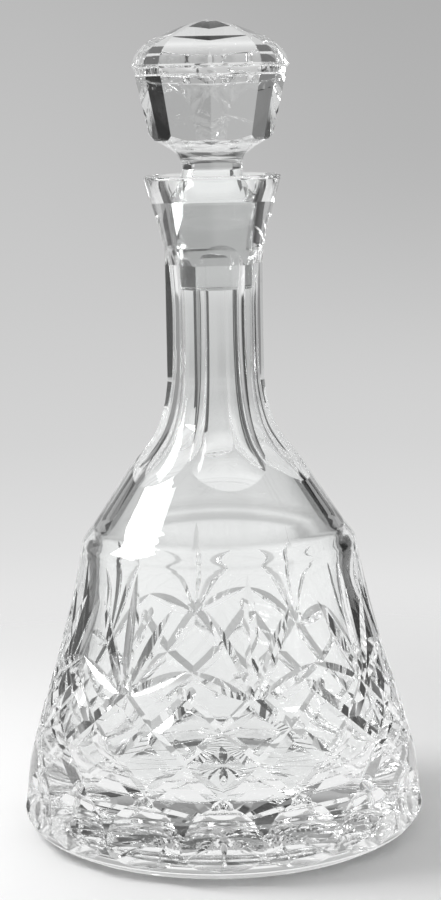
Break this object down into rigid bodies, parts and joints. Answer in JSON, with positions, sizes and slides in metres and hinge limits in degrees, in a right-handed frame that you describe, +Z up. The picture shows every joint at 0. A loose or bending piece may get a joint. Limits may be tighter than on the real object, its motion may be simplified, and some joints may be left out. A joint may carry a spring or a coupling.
{
  "type": "decanter",
  "caption": "Bell-shaped cut glass decanter with a flared lip, panelled neck, diamond, fan and thumbprint cutting, and a faceted stopper that lifts out.",
  "frame": {"origin": "middle of the plane that the foot rests on", "axes": "+Z up along the turning axis, the pictured front faces -Y, +X is to the viewer's right"},
  "size_m": [0.138, 0.138, 0.2795],
  "materials": {
    "body_glass": "clear cut crystal, polished",
    "stopper_glass": "clear cut crystal, polished, plug lightly ground"
  },
  "bodies": {
    "vessel": {"decanter_body": "body_glass"},
    "stopper_lifted": {"stopper": "stopper_glass"}
  },
  "joints": [
    {"name": "stopper_lift", "type": "slide", "parent": "vessel", "child": "stopper_lifted", "axis": [0, 0, 1], "range_m": [0, 0.06]}
  ]
}
